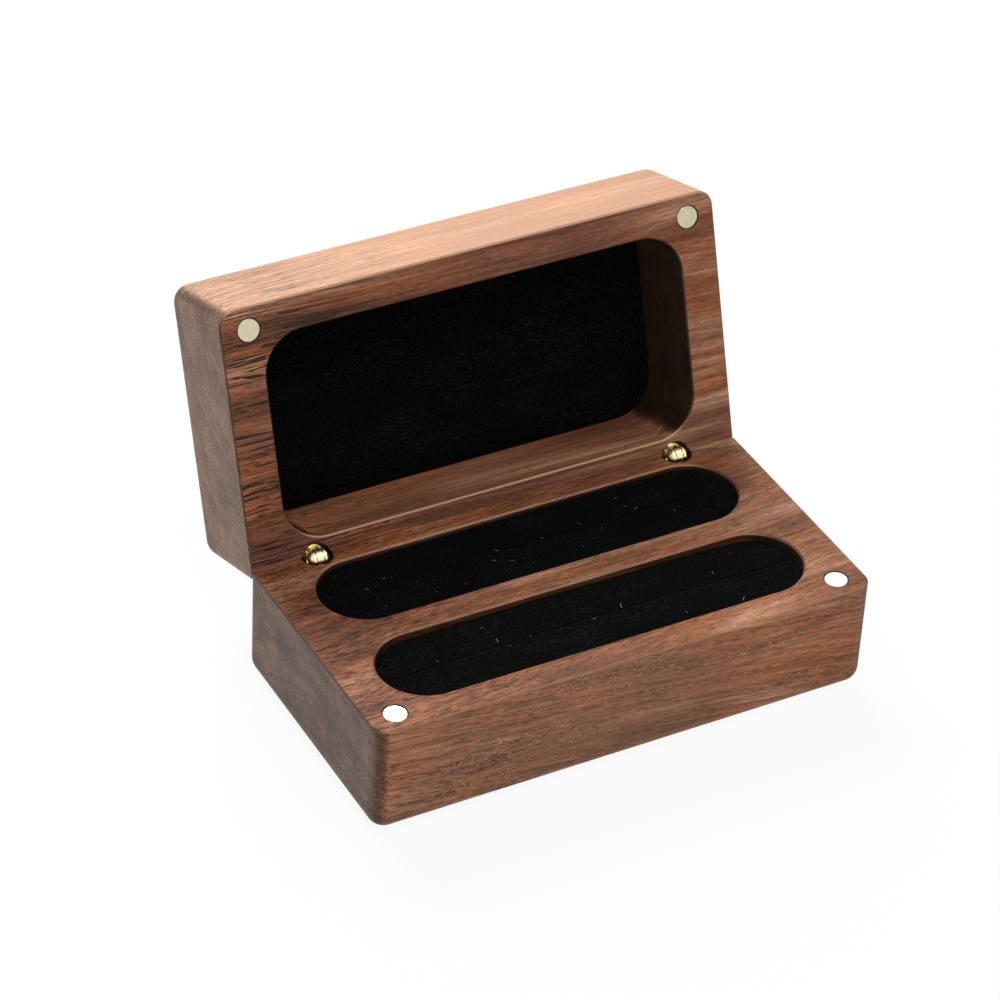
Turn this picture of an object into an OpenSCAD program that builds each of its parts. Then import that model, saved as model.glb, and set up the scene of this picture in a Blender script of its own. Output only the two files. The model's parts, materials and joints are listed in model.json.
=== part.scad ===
// Display box: two walnut blocks on a pair of brass barrel hinges, drawn open.
// The origin is the middle of the underside. Each block is drawn with its mating face
// at height 0 and the wood below, then placed: the base as it is, the lid mirrored and swung open.

/* [Box] */
// Length of the box, left to right
box_l = 110; // [106:1:160]
// Depth of the box, front to rear
box_d = 57.4; // [55:0.2:80]
// Height of the base block
base_h = 25; // [20:0.5:40]
// Height of the lid block
lid_h = 25; // [22:0.5:40]
// Radius of the four upright corners
corner_r = 3.6; // [3.6:0.1:6]
// Radius round the bottom of the base and the top of the lid
edge_r = 3.6; // [0.5:0.1:3.6]
// Bevel that breaks the mating edges and the pocket lips
ease = 0.35; // [0.1:0.05:0.6]
// Gap between the mating faces when the box is shut
parting_gap = 0.1; // [0.05:0.05:0.4]

/* [Slots in the base] */
// Wood left at each end of a slot
slot_end_wall = 8.4; // [6:0.1:20]
// Wood left in front of the front slot and behind the rear one
slot_side_wall = 6.3; // [5.8:0.1:9]
// Depth of each slot
slot_h = 15; // [8:0.5:17]
// Wood left between the two slots
slot_rib = 6.2; // [4:0.2:8]

/* [Slot pads] */
// How far the front pads lie below the mating face
front_pad_drop = 1.8; // [0.5:0.1:4]
// How far the rear pads lie below the mating face
rear_pad_drop = 0.8; // [0.5:0.1:4]
// Thickness of the velvet
velvet_t = 0.8; // [0.5:0.1:1.5]
// Width of the slit between the two halves of a pad
slit_w = 0.3; // [0.1:0.1:1]
// Radius of a pad's shoulders, along the slit and the slot wall
pad_shoulder_r = 1; // [0.5:0.1:3]
// Rise of a pad's crown above its shoulders
pad_crown = 0.4; // [0.1:0.1:1]
// Play between a pad and the slot wall
pad_play = 0.05; // [0.02:0.01:0.3]
// Play between the foam and its velvet
foam_play = 0.05; // [0.02:0.01:0.3]

/* [Pocket in the lid] */
// Wood left at each end of the pocket
pocket_end_wall = 8.5; // [7:0.1:20]
// Wood left in front of the pocket and behind it
pocket_side_wall = 7; // [6.6:0.1:12]
// Depth of the pocket
pocket_h = 19.5; // [10:0.5:20]
// Radius of the pocket's corners
pocket_r = 8.8; // [4:0.2:14]
// Thickness of the card under the pocket's velvet
board_t = 1; // [0.5:0.1:2]
// Play between the lining and the pocket wall
lining_play = 0.1; // [0.05:0.05:0.5]
// Radius of the lining's soft edge
lining_edge_r = 0.6; // [0.2:0.1:0.8]

/* [Catch magnets] */
// Diameter of a magnet
magnet_d = 5; // [3:0.1:6]
// Thickness of a magnet
magnet_t = 2.5; // [1:0.5:4]
// Bevel round a magnet's rims
magnet_bevel = 0.25; // [0.1:0.05:0.5]
// How far a magnet sits below the mating face
magnet_sink = 0.15; // [0:0.05:0.5]
// Play all round a magnet in its hole
magnet_play = 0.05; // [0.01:0.01:0.2]
// From the end of the box to a magnet's middle
magnet_end_inset = 6.05; // [5:0.05:7]
// From the front of the box to a magnet's middle
magnet_front_inset = 4.85; // [4.5:0.05:6]

/* [Hinges] */
// How far the lid swings from shut to its stop
open_angle = 108; // [95:1:115]
// From the end of the box to the middle of a hinge
hinge_end_inset = 14; // [12:0.5:20]
// From the rear of the box to the hinge line
hinge_inset = 3.1; // [2.9:0.1:3.3]
// How far the hinge line lies below the base's mating face
hinge_drop = 0.43; // [0.2:0.01:0.6]
// Gap between the two stop bevels when the lid is fully open
stop_gap = 0.06; // [0.02:0.02:0.2]
// Diameter of a barrel
barrel_d = 4.5; // [4:0.1:4.8]
// Length of a barrel from the hinge line to its end
barrel_l = 13; // [10:0.5:16]
// Bevel round the end of a barrel
barrel_bevel = 0.4; // [0.1:0.1:0.8]
// Play all round a barrel in its hole
barrel_play = 0.05; // [0.02:0.01:0.15]
// Room below the end of a barrel in its hole
barrel_end_gap = 0.3; // [0.1:0.1:1]
// Diameter of the knuckles on the barrels' ends
knuckle_d = 3.6; // [3:0.1:3.8]
// Play between a knuckle and the shoulder that it turns past
knuckle_play = 0.15; // [0.05:0.05:0.3]
// Thickness of the tongue on the lid's barrel
tongue_t = 1.4; // [1:0.1:1.8]
// Play on each side of the tongue in its fork
tongue_play = 0.18; // [0.03:0.01:0.2]
// Diameter of the hinge pin
pin_d = 1.2; // [0.8:0.1:1.6]
// Play all round the pin in the tongue
pin_play = 0.03; // [0.01:0.01:0.08]
// How far the pin's ends lie inside the barrel's outline
pin_sink = 0.15; // [0.05:0.05:0.4]
// Grip grooves round a barrel
groove_count = 20; // [8:1:24]
// Depth of a grip groove
groove_t = 0.15; // [0.05:0.05:0.25]
// Diameter of the relief round the knuckles
mouth_d = 6.5; // [5.6:0.1:6.6]
// Depth of the relief round the knuckles
mouth_h = 2; // [1.6:0.1:3]
// How far the relief's middle lies behind the hinge line
mouth_shift = 0.3; // [0:0.1:0.6]

/* [Hidden] */
$fn = 64;
walnut = [0.45, 0.30, 0.21];
lining_black = [0.04, 0.04, 0.05];
card_grey = [0.55, 0.53, 0.50];
foam_grey = [0.30, 0.30, 0.32];
brass = [0.83, 0.68, 0.36];
nickel = [0.80, 0.80, 0.77];
// A cut runs this far past the face that it opens
over = 1;
// Facets of the wide circle behind a pad's low crown
crown_facets = 256;
left = -1;
right = 1;
front = -1;
rear = 1;
slot_l = box_l - 2 * slot_end_wall;
slot_w = (box_d - slot_rib) / 2 - slot_side_wall;
slot_y = (slot_w + slot_rib) / 2;
pocket_l = box_l - 2 * pocket_end_wall;
pocket_w = box_d - 2 * pocket_side_wall;
pad_w = slot_w / 2 - pad_play - slit_w / 2;
magnet_x = box_l / 2 - magnet_end_inset;
magnet_y = -box_d / 2 + magnet_front_inset;
magnet_hole_h = magnet_t + magnet_sink;
hinge_x = box_l / 2 - hinge_end_inset;
hinge_y = box_d / 2 - hinge_inset;
// Height of the hinge line over the mating face, as each block sees it
base_hinge_z = -hinge_drop;
lid_hinge_z = hinge_drop + parting_gap;
// The stop bevels lie at half the swing, and meet where the open mating faces meet
bevel_angle = open_angle / 2;
bevel_offset = hinge_drop / cos(bevel_angle);
base_bevel = bevel_offset;
lid_bevel = -bevel_offset - stop_gap;
barrel_r = barrel_d / 2;
knuckle_r = knuckle_d / 2;
shoulder = knuckle_r + knuckle_play;
fork_gap = tongue_t + 2 * tongue_play;
pin_l = barrel_d - 2 * pin_sink;
lining_h = board_t + velvet_t;

// Plan of a block or pocket with round corners
module rounded_plan(l, d, r) {
    square([l - 2 * r, d], center = true);
    if (d > 2 * r)
        square([l, d - 2 * r], center = true);
    for (x = [-1, 1], y = [-1, 1])
        translate([x * (l / 2 - r), y * (d / 2 - r)])
            circle(r);
}

// Section of a block's corner from its upright axis outwards, below height 0:
// the lower edge is rounded and the upper one bevelled
module corner_section(h, r, round_r, bevel) {
    translate([0, -h + round_r])
        square([r, h - round_r - bevel]);
    if (r > round_r)
        translate([0, -h])
            square([r - round_r, h - bevel]);
    intersection() {
        translate([r - round_r, -h + round_r])
            circle(round_r);
        translate([0, -h])
            square([r, round_r + bevel]);
    }
    if (bevel > 0)
        polygon([[0, -bevel], [r, -bevel], [r - bevel, 0], [0, 0]]);
}

// Section right across a block of width w
module block_section(w, h, r, round_r, bevel) {
    translate([-w / 2 + r, -h])
        square([w - 2 * r, h]);
    translate([w / 2 - r, 0])
        corner_section(h, r, round_r, bevel);
    mirror([1, 0])
        translate([w / 2 - r, 0])
            corner_section(h, r, round_r, bevel);
}

// Block below height 0: its section swept round a rounded plan
module soft_block(l, d, h, r, round_r, bevel) {
    rotate([90, 0, 90])
        linear_extrude(l - 2 * r, center = true)
            block_section(d, h, r, round_r, bevel);
    rotate([90, 0, 0])
        linear_extrude(d - 2 * r, center = true)
            block_section(l, h, r, round_r, bevel);
    for (x = [-1, 1], y = [-1, 1])
        translate([x * (l / 2 - r), y * (d / 2 - r), 0])
            rotate_extrude()
                corner_section(h, r, round_r, bevel);
}

// Cut for a pocket with a bevelled lip at height 0
module lipped_cut(l, d, h, r) {
    lip = ease + over;
    translate([0, 0, -h])
        linear_extrude(h + over)
            rounded_plan(l, d, r);
    for (x = [-1, 1], y = [-1, 1])
        translate([x * (l / 2 - r), y * (d / 2 - r), -ease])
            cylinder(h = lip, r1 = r, r2 = r + lip);
    rotate([90, 0, 90])
        linear_extrude(l - 2 * r, center = true)
            lip_section(d, lip);
    if (d > 2 * r)
        rotate([90, 0, 0])
            linear_extrude(d - 2 * r, center = true)
                lip_section(l, lip);
}

module lip_section(w, lip) {
    polygon([
        [-w / 2, -ease],
        [w / 2, -ease],
        [w / 2 + lip, -ease + lip],
        [-w / 2 - lip, -ease + lip]
    ]);
}

// Everything behind the stop bevel, for a part whose hinge line is at height hinge_z
module behind_bevel(hinge_z, offset) {
    reach = 2 * max(base_h, lid_h);
    translate([-box_l, hinge_y, hinge_z])
        rotate([-bevel_angle, 0, 0])
            translate([0, -hinge_inset, offset])
                cube([2 * box_l, reach, reach]);
}

// Holes in a mating face for the hinges and magnets
module hinge_holes(hinge_z) {
    for (side = [left, right])
        translate([side * hinge_x, hinge_y, 0]) {
            translate([0, 0, hinge_z - barrel_l - barrel_end_gap])
                cylinder(h = barrel_l + barrel_end_gap - hinge_z + over, d = barrel_d + 2 * barrel_play);
            translate([0, mouth_shift, -mouth_h])
                cylinder(h = mouth_h + over, d = mouth_d);
        }
}

module magnet_holes() {
    for (side = [left, right])
        translate([side * magnet_x, magnet_y, -magnet_hole_h])
            cylinder(h = magnet_hole_h + over, d = magnet_d + 2 * magnet_play);
}

// Places what is drawn at a mating face on the base, or on the open lid
module on_base() {
    translate([0, 0, base_h])
        children();
}

module on_lid() {
    translate([0, hinge_y, base_h + base_hinge_z])
        rotate([-open_angle, 0, 0])
            mirror([0, 0, 1])
                translate([0, -hinge_y, -lid_hinge_z])
                    children();
}

module base_block() {
    color(walnut)
        on_base()
            difference() {
                soft_block(box_l, box_d, base_h, corner_r, edge_r, ease);
                behind_bevel(base_hinge_z, base_bevel);
                for (row = [front, rear])
                    translate([0, row * slot_y, 0])
                        lipped_cut(slot_l, slot_w, slot_h, slot_w / 2);
                hinge_holes(base_hinge_z);
                magnet_holes();
            }
}

module lid_block() {
    color(walnut)
        on_lid()
            difference() {
                soft_block(box_l, box_d, lid_h, corner_r, edge_r, ease);
                behind_bevel(lid_hinge_z, lid_bevel);
                lipped_cut(pocket_l, pocket_w, pocket_h, pocket_r);
                hinge_holes(lid_hinge_z);
                magnet_holes();
            }
}

// Card at the bottom of the pocket, with room round it for the velvet
module lining_board(margin) {
    translate([0, 0, -pocket_h])
        linear_extrude(board_t)
            rounded_plan(pocket_l - 2 * margin, pocket_w - 2 * margin, pocket_r - margin);
}

module lid_lining_board() {
    color(card_grey)
        on_lid()
            lining_board(lining_play + velvet_t);
}

module lid_lining_velvet() {
    color(lining_black)
        on_lid()
            difference() {
                translate([0, 0, -pocket_h])
                    mirror([0, 0, 1])
                        soft_block(
                            pocket_l - 2 * lining_play,
                            pocket_w - 2 * lining_play,
                            lining_h,
                            pocket_r - lining_play,
                            lining_edge_r,
                            0
                        );
                lining_board(lining_play + velvet_t);
            }
}

// Upright section of a pad: flat below, round shoulders and a low crown
module pad_section(w, h) {
    shoulder_r = pad_shoulder_r;
    crown_r = (w * w / 4 + pad_crown * pad_crown) / (2 * pad_crown);
    intersection() {
        union() {
            square([w, h - shoulder_r]);
            translate([shoulder_r, 0])
                square([w - 2 * shoulder_r, h]);
            for (y = [shoulder_r, w - shoulder_r])
                translate([y, h - shoulder_r])
                    circle(shoulder_r);
        }
        translate([w / 2, h - crown_r])
            circle(crown_r, $fn = crown_facets);
    }
}

// Rear half of a pad that stands on height 0, drawn in by inset on every side but the bottom
module half_pad(h, inset) {
    play = pad_play + inset;
    w = pad_w - 2 * inset;
    l = slot_l - 2 * play;
    intersection() {
        linear_extrude(h)
            intersection() {
                rounded_plan(l, slot_w - 2 * play, slot_w / 2 - play);
                translate([-l / 2, slit_w / 2 + inset])
                    square([l, w]);
            }
        translate([0, slit_w / 2 + inset, 0])
            rotate([90, 0, 90])
                linear_extrude(l, center = true)
                    pad_section(w, h - inset);
        translate([-l / 2, slit_w / 2 + inset + w, 0])
            rotate([90, 0, 0])
                linear_extrude(w)
                    pad_section(l, h - inset);
    }
}

// Half of the pad in a slot: row picks the slot, and half the side of its slit
module pad_place(row, half) {
    on_base()
        translate([0, row * slot_y, -slot_h])
            mirror([0, half == rear ? 0 : 1, 0])
                children();
}

module pad_foam(row, half, drop) {
    color(foam_grey)
        pad_place(row, half)
            half_pad(slot_h - drop, velvet_t + foam_play);
}

module pad_velvet(row, half, drop) {
    color(lining_black)
        pad_place(row, half)
            difference() {
                half_pad(slot_h - drop, 0);
                half_pad(slot_h - drop, velvet_t);
            }
}

// Disc magnet below the mating face
module magnet(side) {
    r = magnet_d / 2;
    color(nickel)
        translate([side * magnet_x, magnet_y, -magnet_hole_h])
            rotate_extrude()
                polygon([
                    [0, 0],
                    [r - magnet_bevel, 0],
                    [r, magnet_bevel],
                    [r, magnet_t - magnet_bevel],
                    [r - magnet_bevel, magnet_t],
                    [0, magnet_t]
                ]);
}

// Barrel's round body, hanging from the hinge line at height 0, with its grip grooves
module barrel_body(top) {
    difference() {
        rotate_extrude()
            polygon([
                [0, -barrel_l],
                [barrel_r - barrel_bevel, -barrel_l],
                [barrel_r, -barrel_l + barrel_bevel],
                [barrel_r, top],
                [0, top]
            ]);
        for (i = [0 : groove_count - 1])
            rotate([0, 0, (i + 0.5) * 360 / groove_count])
                translate([barrel_r, 0, -barrel_l - over])
                    rotate([0, 0, 45])
                        linear_extrude(barrel_l - shoulder - barrel_bevel + over)
                            square(groove_t * sqrt(2), center = true);
    }
}

// Outline of a barrel's upper end, seen along the hinge line: neck and round knuckle
module knuckle_section() {
    circle(knuckle_r);
    translate([-knuckle_r, -shoulder])
        square([knuckle_d, shoulder]);
}

// Half outline of a barrel's upper end, from its axis outwards: it closes in a dome over the hinge line
module dome_section() {
    translate([0, -shoulder - over])
        square([barrel_r, shoulder + over]);
    intersection() {
        circle(barrel_r);
        square(barrel_r);
    }
}

// Neck and knuckle cut from a domed barrel, over the width w along the hinge line
module knuckle(w) {
    intersection() {
        rotate_extrude()
            dome_section();
        rotate([90, 0, 90])
            linear_extrude(w, center = true)
                knuckle_section();
    }
}

// What of a neck or barrel would foul the other block's part once the lid is open
module past_bevel(offset) {
    difference() {
        translate([-barrel_d, 0, 0])
            rotate([-bevel_angle, 0, 0])
                translate([0, -barrel_d, offset])
                    cube([2 * barrel_d, barrel_l, barrel_l]);
        rotate([0, 90, 0])
            cylinder(h = 2 * barrel_d, d = knuckle_d, center = true);
    }
}

// Bore along the hinge line
module pin_bore(d) {
    rotate([0, 90, 0])
        cylinder(h = 2 * barrel_d, d = d, center = true);
}

// Base barrel: its end is a fork that holds the pin
module base_barrel(side) {
    color(brass)
        on_base()
            translate([side * hinge_x, hinge_y, base_hinge_z])
                difference() {
                    union() {
                        barrel_body(-shoulder);
                        knuckle(barrel_d);
                    }
                    translate([-fork_gap / 2, -barrel_d, -shoulder])
                        cube([fork_gap, 2 * barrel_d, barrel_d]);
                    past_bevel(base_bevel - stop_gap);
                    pin_bore(pin_d);
                }
}

// Lid barrel: its end is a tongue that turns on the pin
module lid_barrel(side) {
    color(brass)
        on_lid()
            translate([side * hinge_x, hinge_y, lid_hinge_z])
                difference() {
                    union() {
                        barrel_body(-shoulder);
                        knuckle(tongue_t);
                    }
                    past_bevel(lid_bevel);
                    pin_bore(pin_d + 2 * pin_play);
                }
}

module hinge_pin(side) {
    color(brass)
        on_base()
            translate([side * hinge_x, hinge_y, base_hinge_z])
                rotate([0, 90, 0])
                    cylinder(h = pin_l, d = pin_d, center = true);
}

base_block();
lid_block();
lid_lining_board();
lid_lining_velvet();
pad_foam(front, front, front_pad_drop);  // front_pad_foam_front
pad_foam(front, rear, front_pad_drop);  // front_pad_foam_rear
pad_velvet(front, front, front_pad_drop);  // front_pad_velvet_front
pad_velvet(front, rear, front_pad_drop);  // front_pad_velvet_rear
pad_foam(rear, front, rear_pad_drop);  // rear_pad_foam_front
pad_foam(rear, rear, rear_pad_drop);  // rear_pad_foam_rear
pad_velvet(rear, front, rear_pad_drop);  // rear_pad_velvet_front
pad_velvet(rear, rear, rear_pad_drop);  // rear_pad_velvet_rear
on_base() magnet(left);  // base_magnet_left
on_base() magnet(right);  // base_magnet_right
on_lid() magnet(left);  // lid_magnet_left
on_lid() magnet(right);  // lid_magnet_right
base_barrel(left);  // left_hinge_base_barrel
lid_barrel(left);  // left_hinge_lid_barrel
hinge_pin(left);  // left_hinge_pin
base_barrel(right);  // right_hinge_base_barrel
lid_barrel(right);  // right_hinge_lid_barrel
hinge_pin(right);  // right_hinge_pin
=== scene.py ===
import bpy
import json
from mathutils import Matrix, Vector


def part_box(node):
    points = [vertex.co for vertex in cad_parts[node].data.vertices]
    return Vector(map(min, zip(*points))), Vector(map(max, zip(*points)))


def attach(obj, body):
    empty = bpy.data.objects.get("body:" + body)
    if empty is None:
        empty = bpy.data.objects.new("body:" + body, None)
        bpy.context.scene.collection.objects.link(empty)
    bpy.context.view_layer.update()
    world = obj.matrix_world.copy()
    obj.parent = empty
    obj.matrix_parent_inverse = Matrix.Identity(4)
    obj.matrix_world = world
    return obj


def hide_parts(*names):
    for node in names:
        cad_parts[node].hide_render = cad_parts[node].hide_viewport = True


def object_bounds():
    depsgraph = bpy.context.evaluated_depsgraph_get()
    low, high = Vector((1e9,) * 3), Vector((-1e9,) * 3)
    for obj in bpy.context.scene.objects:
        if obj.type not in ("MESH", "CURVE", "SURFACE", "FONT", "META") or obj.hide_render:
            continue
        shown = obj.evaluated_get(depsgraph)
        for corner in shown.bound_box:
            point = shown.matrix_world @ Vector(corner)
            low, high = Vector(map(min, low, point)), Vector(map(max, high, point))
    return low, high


bl_info = {
    "name": "Display Box",
    "version": (1, 0, 0),
    "blender": (4, 5, 0),
    "location": "3D View > Sidebar > Display Box",
    "description": "Dresses a walnut display box: wood, velvet pads and lining, magnets and hinges",
    "category": "Object",
}

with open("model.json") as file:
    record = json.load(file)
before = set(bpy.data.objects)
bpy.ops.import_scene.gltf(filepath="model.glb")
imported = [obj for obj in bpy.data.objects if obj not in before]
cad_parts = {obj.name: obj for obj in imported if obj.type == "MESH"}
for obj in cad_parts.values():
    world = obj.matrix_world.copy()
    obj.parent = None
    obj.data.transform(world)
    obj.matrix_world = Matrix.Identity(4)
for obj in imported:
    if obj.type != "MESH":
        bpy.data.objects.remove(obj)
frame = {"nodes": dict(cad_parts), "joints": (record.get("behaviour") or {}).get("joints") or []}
CAD_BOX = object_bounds()

import json
import math

import bmesh
import bpy
from bpy.props import FloatProperty, FloatVectorProperty, IntProperty, PointerProperty
from mathutils import Matrix, Vector

MM = 0.001

# The hinge: its swing shuts the lid, and OPENED takes a direction from the shut lid to the open one
PIVOT = Vector(frame["joints"][0]["pos_m"])
SWING = math.radians(frame["joints"][0]["range_deg"][1])
OPENED = Matrix.Rotation(-SWING, 3, "X")

# In millimetres: the depths under the outer and rear faces at which their own look starts and is full
SKIN = (1.5, 0.5)
# The distances from the seam at which the look of the cuts starts and is full
SEAM_EDGE = (0.1, 0.4)
# The distances from the rear face at which the painted shade of the holes starts and is full
REAR_EDGE = (0.3, 0.6)
# The distances from the seam over which the painted shade of the holes ends
HOLE_SHADE_DEPTH = (14.0, 15.0)
# The distance up to which two points of a mesh are one
SAME_POINT = 0.002
# Half the width over which a hole's painted dark rim ends
RIM_BLUR = 0.12
# What the box round the cuts has over the pads on each side
CUT_MARGIN = 0.5
# Share of the painted shade colour inside the holes
HOLE_SHADE_STRENGTH = 0.75
# How far a wall has to face an axis, from 0 to 1, to start to count, and to count in full
WALL_TURN = (0.3, 0.6)

# What repeats across the grain, each at its own gap
GAPS = ("Ring", "Fibre", "Pore", "Line")
PADS = ("front_pad", "rear_pad")
BASE_MAGNETS = ("base_magnet_left", "base_magnet_right")
LID_MAGNETS = ("lid_magnet_left", "lid_magnet_right")
# Direction as seen from the box, distance and side in metres, power in watts
LAMPS = (
    {"name": "key_lamp", "direction": (0.04, 0.74, 0.63), "distance": 0.9, "side": 0.55, "power": 12.5},
    {"name": "top_lamp", "direction": (0.05, -0.4, 1.0), "distance": 0.9, "side": 0.5, "power": 3.5},
    {"name": "low_lamp", "direction": (-0.1, -0.9, 0.08), "distance": 1.0, "side": 0.4, "power": 2.35},
)
HINGE_NODES = [
    side + "_hinge_" + piece
    for side in ("left", "right")
    for piece in ("base_barrel", "lid_barrel", "pin")
]


def colour(name, description, *code):
    """Colour property whose default is given as an sRGB colour from 0 to 255."""
    shares = [value / 255 for value in code]
    linear = [c / 12.92 if c <= 0.04045 else ((c + 0.055) / 1.055) ** 2.4 for c in shares]
    return FloatVectorProperty(
        name=name, description=description, subtype="COLOR", default=linear, min=0, max=1
    )


def length(name, description, millimetres):
    """Length property whose default is given in millimetres."""
    return FloatProperty(
        name=name,
        description=description,
        unit="LENGTH",
        default=millimetres * MM,
        min=0.01 * MM,
        precision=5,
    )


def share(name, description, default):
    return FloatProperty(
        name=name, description=description, subtype="FACTOR", default=default, min=0, max=1
    )


def angle(name, description, degrees):
    return FloatProperty(
        name=name, description=description, subtype="ANGLE", default=math.radians(degrees)
    )


class WoodSettings(bpy.types.PropertyGroup):
    """Oiled walnut of the two blocks"""

    pale: colour("Pale wood", "Wood between the dark streaks", 193, 147, 116)
    brown: colour("Brown wood", "Most of the wood", 160, 99, 64)
    plum: colour("Plum wood", "Cooler patches of the wood", 134, 83, 61)
    lid_brown: colour("Brown wood of the lid", "Most of the lid's wood", 153, 91, 58)
    lid_plum: colour("Plum wood of the lid", "Cooler patches of the lid's wood", 126, 78, 59)
    dark: colour("Dark wood", "Wood near the growth rings", 84, 52, 38)
    streak: colour("Streak", "Thin dark lines along the grain", 38, 24, 18)
    lid_end_grain: colour("Lid's end grain", "Cut ends of the lid", 154, 127, 107)
    # The base's end grain is painted darker than the lid's, as painted shade
    end_grain: colour("End grain", "Tint of the wood where the grain ends", 118, 101, 90)
    # Painted shade: the dark colour laid on the holes' rims and on some walls of the cuts
    painted_shade: colour("Painted shade", "Walls and rims of the drilled holes", 24, 14, 10)
    ring_gap: length("Ring gap", "Distance between two growth rings", 3.4)
    fibre_gap: length("Fibre gap", "Distance between two fine fibre lines", 0.8)
    pore_gap: length("Pore gap", "Distance between two pores", 0.55)
    line_gap: length("Line gap", "Distance between two thin dark lines", 0.42)
    hinge_shade: length("Hinge hole rim", "Radius of a hinge hole's dark rim", 3.35)
    hinge_shift: length("Hinge hole shift", "How far it lies behind the hinge line", 0.3)
    magnet_shade: length("Magnet hole rim", "Radius of a magnet's dark rim", 2.58)


class VelvetSettings(bpy.types.PropertyGroup):
    """Velvet, foam and card of the pads and the lining"""

    pile: colour("Pile", "Velvet seen along the pile", 8, 8, 8)
    pile_light: colour("Brushed pile", "Velvet where the pile is brushed over", 43, 43, 42)
    foam: colour("Foam", "Foam inside the pads", 74, 74, 78)
    card: colour("Card", "Card under the lining", 150, 146, 138)
    fibre: colour("Loose fibre", "Pale loose fibres on the pile", 205, 205, 208)
    shoulder: length("Pad shoulder", "Radius of a pad's upper edges", 0.5)
    crown: length("Pad crown", "Rise of a pad's middle over its edges", 0.2)
    front_rise: length("Front pad's bulge", "Bulge of its middle over its ends", 0.7)
    rear_rise: length("Rear pad's bulge", "Bulge of its middle over its ends", 0.2)
    slit_share: share("Open slit", "Share of the slit that the pile leaves open", 0.12)
    fibre_count: IntProperty(
        name="Loose fibres", description="Number of loose fibres on the pads", default=70, min=0, max=1000
    )
    fibre_length: length("Fibre length", "Length of the longest loose fibre", 1.6)
    lining_corner: length("Lining corner", "Radius of the lining's corners", 8.7)
    lining_edge: length("Lining edge", "Radius of the lining's edge", 0.6)
    lining_rise: length("Lining rise", "Rise of the lining's edge over its middle", 0.15)


class MetalSettings(bpy.types.PropertyGroup):
    """Metal of the hinges and the magnets"""

    brass: colour("Brass", "Rubbed brass of the hinges", 255, 244, 204)
    tarnish: colour("Tarnish", "Dulled brass of the hinges", 240, 214, 150)
    # One plating in two copies: the base's is painted brighter as painted reflection, and the lid's darker
    # as painted shade
    nickel: colour("Nickel", "Plating of the base's magnets", 255, 252, 242)
    nickel_dull: colour("Dull nickel", "Dulled plating of the base's magnets", 246, 240, 224)
    shaded_lid_nickel: colour("Lid's nickel", "Plating of the lid's magnets", 208, 197, 170)
    shaded_lid_nickel_dull: colour("Lid's dull nickel", "Its dulled plating", 192, 181, 152)
    # Painted highlight on the magnets' bevels
    nickel_rim_highlight: colour("Nickel rim", "Painted highlight on a magnet's bevel", 255, 254, 246)


class StageSettings(bpy.types.PropertyGroup):
    """Floor, lamps and camera"""

    floor: colour("Floor", "Floor under the box", 236, 236, 236)
    floor_glow: share("Floor glow", "Share of the floor's white that no shadow reaches", 0.92)
    sky: share("Sky light", "Strength of the even light from all round", 0.1)
    camera_lens: FloatProperty(
        name="Lens", description="Focal length of the camera in millimetres", default=147.25, min=10, max=500
    )
    camera_distance: length("Camera distance", "Distance from the camera to its aim", 811.47)
    camera_azimuth: angle("Azimuth", "Camera's turn round the box", -30.03)
    camera_elevation: angle("Elevation", "Camera's height as an angle", 36.78)
    camera_roll: angle("Roll", "Camera's turn about its view", 3.22)
    camera_aim: FloatVectorProperty(
        name="Aim",
        description="Point that the camera looks at",
        subtype="TRANSLATION",
        unit="LENGTH",
        default=(-0.00496, 0.01738, 0.03323),
        precision=5,
    )


class BoxSettings(bpy.types.PropertyGroup):
    """All that can be changed on the display box"""

    wood: PointerProperty(type=WoodSettings)
    velvet: PointerProperty(type=VelvetSettings)
    metal: PointerProperty(type=MetalSettings)
    stage: PointerProperty(type=StageSettings)


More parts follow.
